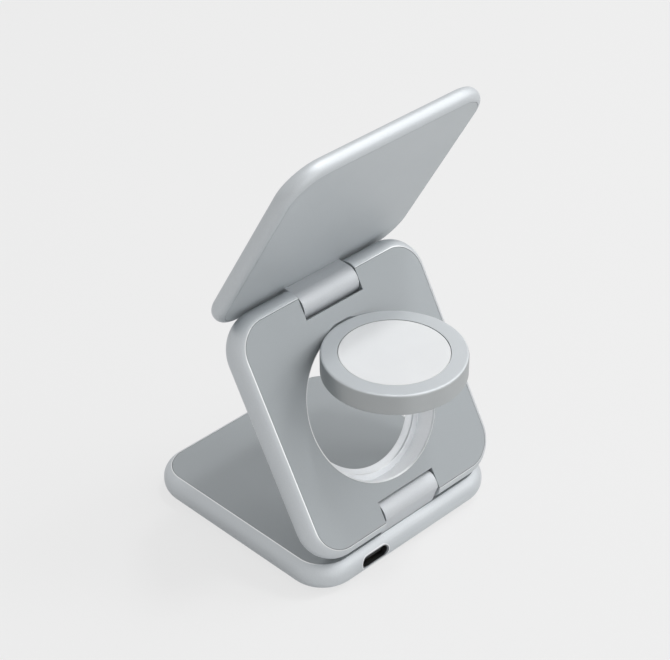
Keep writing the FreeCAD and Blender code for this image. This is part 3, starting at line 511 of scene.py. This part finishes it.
GREEN_BOARD = lacquered_board("glass_epoxy_green_lacquered", "#24523C")
PRESSED_FERRITE = moulded("ferrite_pressed", "#3E3D40",
                          roughness=0.68, ior=1.6, texture_mm=0.4, depth_mm=0.006, mottle=0.08)

# %% [markdown]
# ## A finish for every node
# Each node of the frame keeps its shape and gets the finish that its real part has.
# A list from finish to nodes is easier to check than a line for each node, and the
# cell stops if a node was forgotten.

# %% Finishes on the nodes
FINISHES = {
    ALUMINIUM_BASE: ["base_frame"],
    ALUMINIUM_MIDDLE: ["middle_frame"],
    ALUMINIUM_TOP: ["top_frame"],
    LACQUER_PANEL: ["base_panel", "middle_rear_panel", "middle_front_panel"],
    LACQUER_LEAF_PAINTED_LIGHTER: ["top_back_panel"],
    ALUMINIUM_BARREL: ["lower_knuckle", "upper_knuckle"],
    ALUMINIUM_WELL_PAINTED_LIGHTER: ["well_ring"],
    TURNED_PUCK: ["puck_shell"],
    WHITE_CAP: ["puck_cap"],
    SOFT_PAD: ["phone_pad"],
    RUBBER_FOOT: ["base_foot"],
    BLACK_TONGUE: ["usb_c_tongue"],
    DRAWN_STEEL_PAINTED_SHADE: ["usb_c_shell"],
    GROUND_STEEL: ["lower_hinge_pin", "upper_hinge_pin", "puck_pin"],
    NICKEL_PLATE: ["puck_magnet", "phone_magnet_ring"],
    COPPER_LITZ: ["base_charging_coil", "puck_charging_coil", "phone_charging_coil"],
    PRESSED_FERRITE: ["base_ferrite_sheet", "puck_ferrite_sheet", "phone_ferrite_sheet"],
    GREEN_BOARD: ["base_circuit_board", "puck_circuit_board", "phone_circuit_board"],
}

finished = set()
for material, names in FINISHES.items():
    for name in names:
        node_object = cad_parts[name]
        slots = node_object.material_slots
        if slots:
            for slot in slots:
                slot.material = material
        else:
            node_object.data.materials.append(material)
        finished.add(name)
left_over = sorted(set(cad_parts) - finished)
assert not left_over, left_over
print("nodes with a finish:", len(finished))

# %% [markdown]
# ## Contacts on the socket's tongue
# The tongue of the socket carries twelve contacts on each side, 0.25 mm wide and
# 0.5 mm apart. They are stamped from copper strip, plated with gold, and the plastic
# is moulded round them, so they stand out by a few hundredths only. Their noses are
# round, which guides the plug's springs. They are too fine for the solids and are
# made here as thin strips with a round nose and a broken edge.

# %% Gold contacts
CONTACTS_A_SIDE = 12
CONTACT_PITCH = 0.5 * MM
CONTACT_WIDTH = 0.25 * MM
CONTACT_PROUD = 0.03 * MM
CONTACT_BACK = 28.2 * MM
CONTACT_FRONT = 31.5 * MM
CONTACT_EDGE = 0.01 * MM
EDGE_STEPS = 2
NOSE_STEPS = 6


def contact_outline(middle_x):
    """The outline of one strip, from its square back end to its round nose."""
    half = CONTACT_WIDTH / 2
    spots = [(middle_x - half, CONTACT_BACK), (middle_x + half, CONTACT_BACK)]
    for step in range(NOSE_STEPS + 1):
        turn = math.pi * step / NOSE_STEPS
        spots.append((middle_x + half * math.cos(turn), CONTACT_FRONT - half + half * math.sin(turn)))
    return spots


tongue_low, tongue_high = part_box("usb_c_tongue")
tongue_middle = (tongue_low[0] + tongue_high[0]) / 2
strips = bmesh.new()
for face_z, outwards in ((tongue_high[2], 1), (tongue_low[2], -1)):
    for number in range(CONTACTS_A_SIDE):
        outline = contact_outline(tongue_middle + (number - (CONTACTS_A_SIDE - 1) / 2) * CONTACT_PITCH)
        outer = [strips.verts.new((x, y, face_z + outwards * CONTACT_PROUD)) for x, y in outline]
        inner = [strips.verts.new((x, y, face_z)) for x, y in outline]
        strips.faces.new(outer)
        strips.faces.new(inner[::-1])
        for step in range(len(outer)):
            after = (step + 1) % len(outer)
            strips.faces.new((outer[step], inner[step], inner[after], outer[after]))
bmesh.ops.recalc_face_normals(strips, faces=strips.faces)
contact_mesh = bpy.data.meshes.new("tongue_contacts")
strips.to_mesh(contact_mesh)
strips.free()
contact_mesh.materials.append(GOLD_PLATE)
contacts = bpy.data.objects.new("tongue_contacts", contact_mesh)
scene.collection.objects.link(contacts)
edge_break = contacts.modifiers.new("edge_break", "BEVEL")
edge_break.width = CONTACT_EDGE
edge_break.segments = EDGE_STEPS
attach(contacts, "base")
print("contacts:", 2 * CONTACTS_A_SIDE, "faces:", len(contact_mesh.polygons))

# %% [markdown]
# ## Floor and light
# The floor is one wide sheet of pale card, and the world behind it shows the same
# tone, so hardly a horizon is seen. Aluminium is only as good as what it reflects: a
# soft box 1.35 m wide hangs over the object, behind it from the phone's side, and its
# bright core gives the shadows some edge. A small lamp hangs almost straight above: it
# passes in front of the middle leaf and lights the front of the base, so that the leaf
# throws its shadow across the panel. A weak box stands low behind the object for the
# barrels and the walls of the well, and the world fills the rest with an even grey.
# To the camera a large share of the card shows its plain colour, whatever light falls
# on it, so the lamps can stay low, pale faces keep their tone and the shadow stays
# faint. In the metal that share is smaller, so the leaves still mirror the darker card
# that lies in their own shadow.

# %% Floor
PLAIN_TO_CAMERA = 0.82
PLAIN_TO_METAL = 0.3
CARD_COLOUR = "#EEEEEE"
CARD_ROUGHNESS = 0.9
FIBRE_SIZE = 2 * MM
FIBRE_STRENGTH = 0.05
FIBRE_DEPTH = 0.01 * MM
FLOOR_REACH = 3.0


def looked_at(tree, by_camera=1.0, by_metal=1.0):
    """A share for the camera, one for what metal and glass show, and nought for the light itself."""
    path = add_node(tree, "ShaderNodeLightPath").outputs
    mirrored = sums(tree, "MAXIMUM", path["Is Glossy Ray"], path["Is Transmission Ray"])
    return sums(tree, "MAXIMUM", sums(tree, "MULTIPLY", path["Is Camera Ray"], by_camera),
                sums(tree, "MULTIPLY", mirrored, by_metal))


def card_material(name, colour):
    """Plain matt card, of which a share shows its own colour whatever the light."""
    material, tree, point = start_material(name)
    fibres = noise(tree, point, FIBRE_SIZE, detail=3.0)
    card = add_node(tree, "ShaderNodeBsdfPrincipled", {
        "Base Color": linear(colour), "Roughness": CARD_ROUGHNESS, "Specular IOR Level": 0.0,
        "Normal": relief(tree, fibres, FIBRE_STRENGTH, FIBRE_DEPTH)})
    plain = add_node(tree, "ShaderNodeEmission", {"Color": linear(colour), "Strength": 1.0})
    share = looked_at(tree, PLAIN_TO_CAMERA, PLAIN_TO_METAL)
    seen = add_node(tree, "ShaderNodeMixShader", {0: share, 1: card.outputs[0], 2: plain.outputs[0]})
    return finish_material(material, seen.outputs[0])


floor_mesh = bpy.data.meshes.new("floor")
floor_corners = [(x * FLOOR_REACH, y * FLOOR_REACH, 0) for x, y in ((-1, -1), (1, -1), (1, 1), (-1, 1))]
floor_mesh.from_pydata(floor_corners, [], [(0, 1, 2, 3)])
floor = bpy.data.objects.new("floor", floor_mesh)
scene.collection.objects.link(floor)
floor_mesh.materials.append(card_material("card_pale_matt", CARD_COLOUR))
print("floor, m:", 2 * FLOOR_REACH, "square")

# %% Lights
FILL_STRENGTH = 0.46
LAMPS = (
    # name, where it hangs and what it faces in metres, its width in metres, its watts
    ("key_box", (-0.66, 0.47, 0.89), (0, 0, 0.05), 1.35, 5.0),
    ("key_core", (-0.66, 0.47, 0.89), (0, 0, 0.05), 0.35, 2.9),
    ("steep_core", (-0.25, 0.2, 1.2), (0, 0, 0.03), 0.12, 2.8),
    ("low_fill_box", (0.25, 1.2, 0.25), (0, 0, 0.06), 0.8, 1.8),
)

for name, at, towards, width, watts in LAMPS:
    lamp_data = bpy.data.lights.new(name, "AREA")
    lamp_data.shape = "SQUARE"
    lamp_data.size = width
    lamp_data.energy = watts
    lamp = bpy.data.objects.new(name, lamp_data)
    scene.collection.objects.link(lamp)
    lamp.location = at
    lamp.rotation_euler = (Vector(at) - Vector(towards)).to_track_quat("Z", "Y").to_euler()
    print("lamp:", name, "watts:", watts)

world = bpy.data.worlds.new("studio")
scene.world = world
world.use_nodes = True
sky = world.node_tree
sky.nodes.clear()
fill = add_node(sky, "ShaderNodeBackground", {"Color": linear("#FFFFFF"), "Strength": FILL_STRENGTH})
backdrop = add_node(sky, "ShaderNodeBackground", {"Color": linear(CARD_COLOUR), "Strength": 1.0})
seen_sky = add_node(sky, "ShaderNodeMixShader", {
    0: looked_at(sky), 1: fill.outputs["Background"], 2: backdrop.outputs["Background"]})
add_node(sky, "ShaderNodeOutputWorld", {"Surface": seen_sky.outputs[0]})
scene.view_settings.view_transform = "Standard"
